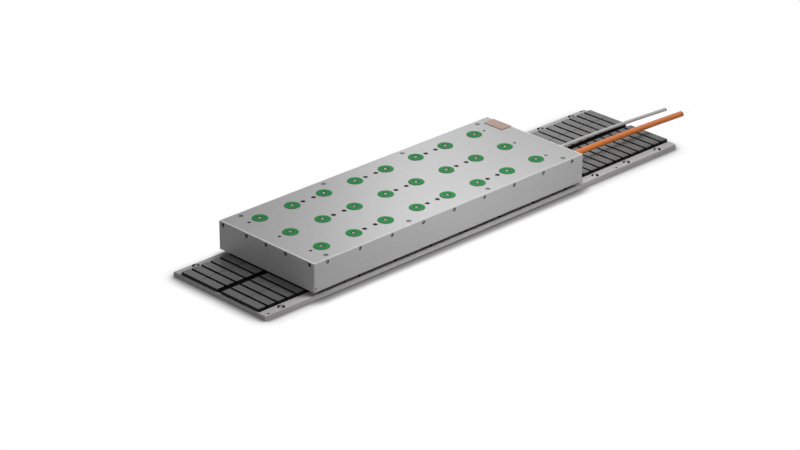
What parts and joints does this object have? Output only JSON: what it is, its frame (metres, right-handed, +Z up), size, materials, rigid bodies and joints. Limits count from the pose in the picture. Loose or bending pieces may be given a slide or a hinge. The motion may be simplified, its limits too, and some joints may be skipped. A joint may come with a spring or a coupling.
{
  "type": "linear motor",
  "caption": "Iron-core linear motor: a flat primary with insulated mounting rings slides at its air gap over a magnet track, with a power and a sensor cable.",
  "frame": {"origin": "on the underside of the magnet track, at the middle of its length and width (bottom centre of the object without its cables)", "axes": "+X along the travel towards the cable end of the primary, +Y across the track towards the blank plate's side, +Z up"},
  "size_m": [1.2225, 0.26, 0.0764],
  "materials": {
    "track_steel": "ground and lightly plated steel, satin",
    "magnet": "epoxy-coated sintered magnets, dark satin grey",
    "housing": "fine satin aluminium with bright bevelled edges",
    "thin_steel": "thin rolled stainless sheet",
    "ring_plastic": "green glass-filled insulating laminate",
    "insert_steel": "turned steel",
    "copper_plate": "thin copper-toned metal, bare",
    "black_steel": "black oxide steel",
    "screw_steel": "zinc-plated steel",
    "plug_grey": "grey anodised aluminium",
    "core_steel": "stacked electrical sheet, varnished",
    "insulator": "moulded polymer",
    "copper_wire": "enamelled copper",
    "sensor_bead": "epoxy bead",
    "board": "glass-epoxy board",
    "brass_studs": "turned brass",
    "plated_brass": "nickel-plated brass",
    "orange_sheath": "orange polyurethane sheath, satin",
    "grey_sheath": "light grey polyurethane sheath, satin",
    "core_wire": "insulated conductors with crimped ferrules"
  },
  "bodies": {
    "track": {"track_plate_1": "track_steel", "magnet_group_1": "magnet", "track_plate_2": "track_steel", "magnet_group_2": "magnet", "track_plate_3": "track_steel", "magnet_group_3": "magnet", "track_plate_4": "track_steel", "magnet_group_4": "magnet", "track_plate_5": "track_steel", "magnet_group_5": "magnet", "track_plate_6": "track_steel", "magnet_group_6": "magnet"},
    "primary": {"top_plate": "housing", "front_side_panel": "housing", "rear_side_panel": "housing", "closed_end_panel": "housing", "cable_end_panel": "housing", "air_gap_sheet": "thin_steel", "insulating_rings": "ring_plastic", "threaded_inserts": "insert_steel", "blank_plate": "copper_plate", "core_screws": "black_steel", "side_screws": "screw_steel", "end_screws": "screw_steel", "corner_screws": "screw_steel", "top_plugs": "plug_grey", "laminated_core": "core_steel", "tooth_insulators": "insulator", "coils_u": "copper_wire", "coils_v": "copper_wire", "coils_w": "copper_wire", "coil_leads": "copper_wire", "busbar_carrier": "insulator", "phase_bars": "copper_wire", "star_bar": "copper_wire", "temperature_sensors": "sensor_bead", "terminal_board": "board", "board_standoffs": "insulator", "terminal_studs": "brass_studs", "cooling_tube": "copper_wire", "coolant_ports": "insert_steel", "power_gland": "plated_brass", "sensor_gland": "plated_brass", "gland_lock_nuts": "plated_brass", "power_cable": "orange_sheath", "sensor_cable": "grey_sheath", "power_core_ends": "core_wire", "sensor_core_ends": "core_wire"}
  },
  "joints": [
    {"name": "primary_slide", "type": "slide", "parent": "track", "child": "primary", "axis": [1, 0, 0], "range_m": [-0.114, 0.281]}
  ]
}
